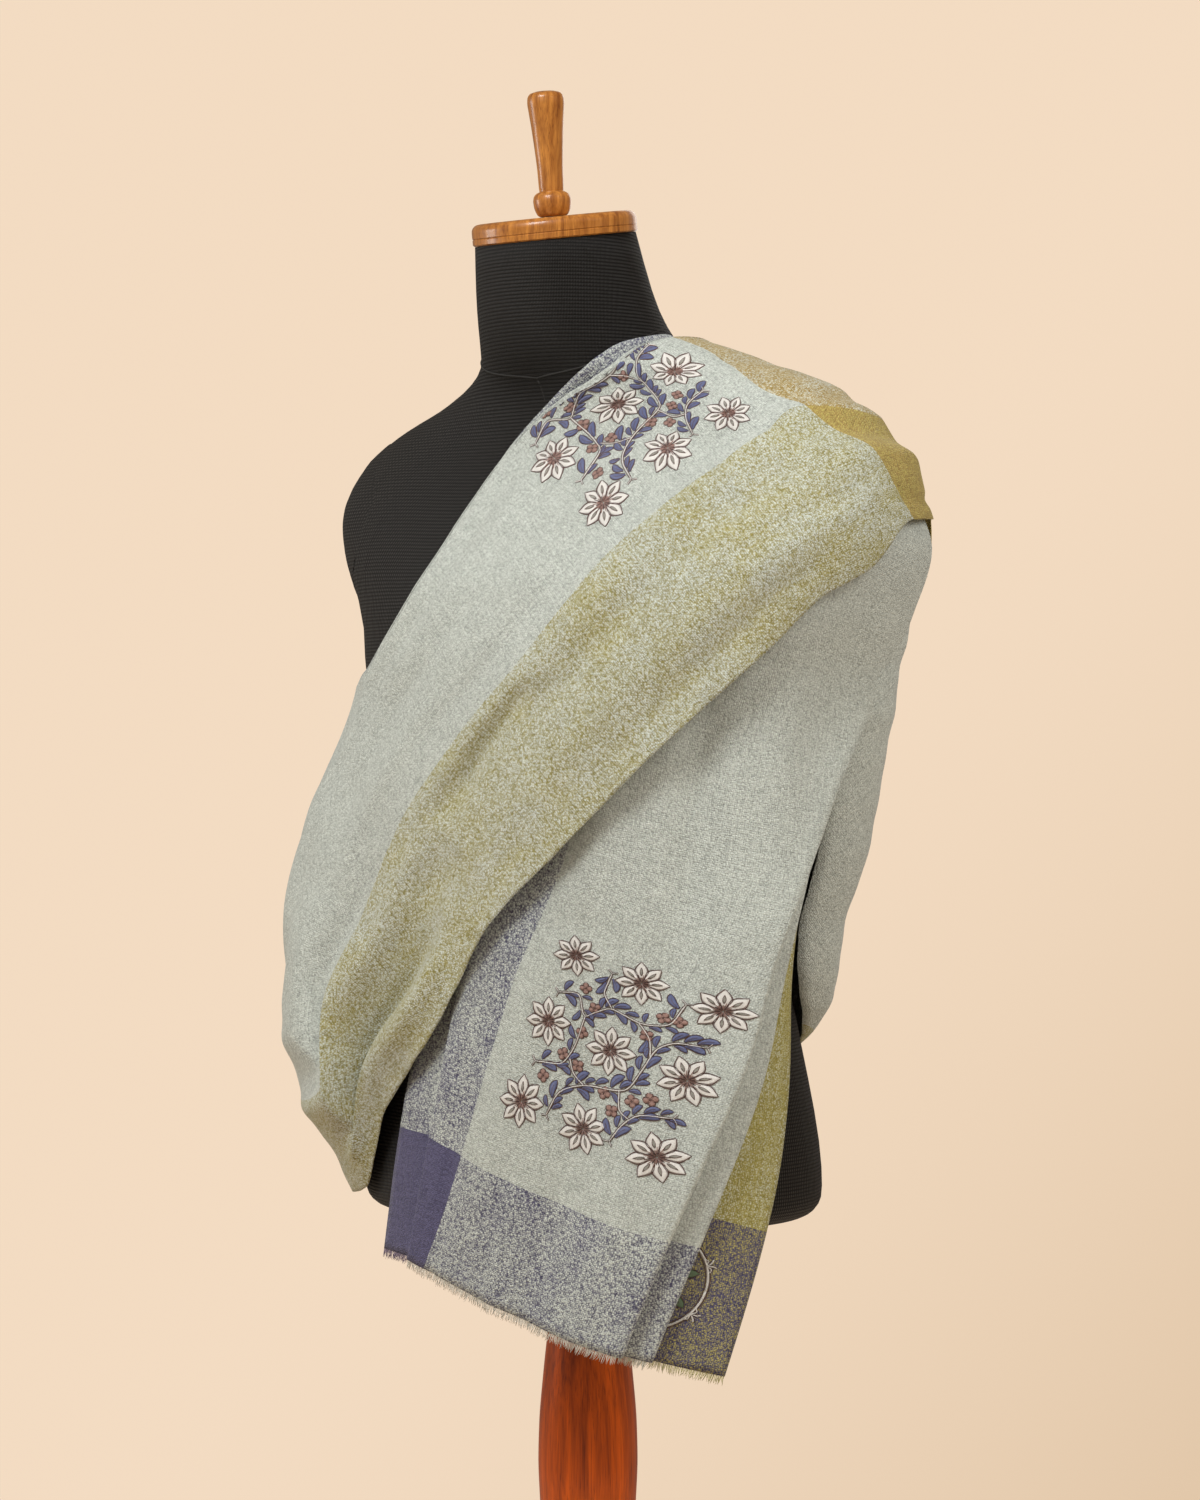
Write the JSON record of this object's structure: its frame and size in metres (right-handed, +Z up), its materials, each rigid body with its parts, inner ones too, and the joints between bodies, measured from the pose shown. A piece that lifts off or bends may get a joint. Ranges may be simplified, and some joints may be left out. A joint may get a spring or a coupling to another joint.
{
  "type": "pashmina shawl on dress form",
  "caption": "Bordered pashmina shawl wrapped over the left shoulder of a limbless dress form on a turned post and round base.",
  "frame": {"origin": "middle of the round base's underside, on the floor, on the axis of the post", "axes": "+Z up; the dress form faces -Y and its left shoulder, which carries the shawl, is towards +X"},
  "size_m": [0.5225, 0.41, 1.6646],
  "materials": {
    "woven_cloth": "fine matt twill in sage green with olive and slate blue borders",
    "fringe_yarn": "matt loose yarn ends",
    "black_cover": "matt black plain weave, stretched smooth",
    "light_wood": "satin varnish on light wood",
    "red_wood": "gloss varnish on red-brown wood"
  },
  "bodies": {
    "root": {"shawl_front_fall": "woven_cloth", "shawl_back_drape": "woven_cloth", "shawl_side_loop": "woven_cloth", "shawl_front_sash": "woven_cloth", "shawl_end_tail": "woven_cloth", "shawl_fringe_indigo": "fringe_yarn", "shawl_fringe_front": "fringe_yarn", "shawl_fringe_fold": "fringe_yarn", "shawl_fringe_olive": "fringe_yarn", "shawl_fringe_tail": "fringe_yarn", "form_torso": "black_cover", "arm_cap_left": "black_cover", "arm_cap_right": "black_cover", "neck_cap": "light_wood", "finial": "light_wood", "stand_post": "red_wood", "stand_base": "red_wood"}
  },
  "joints": []
}
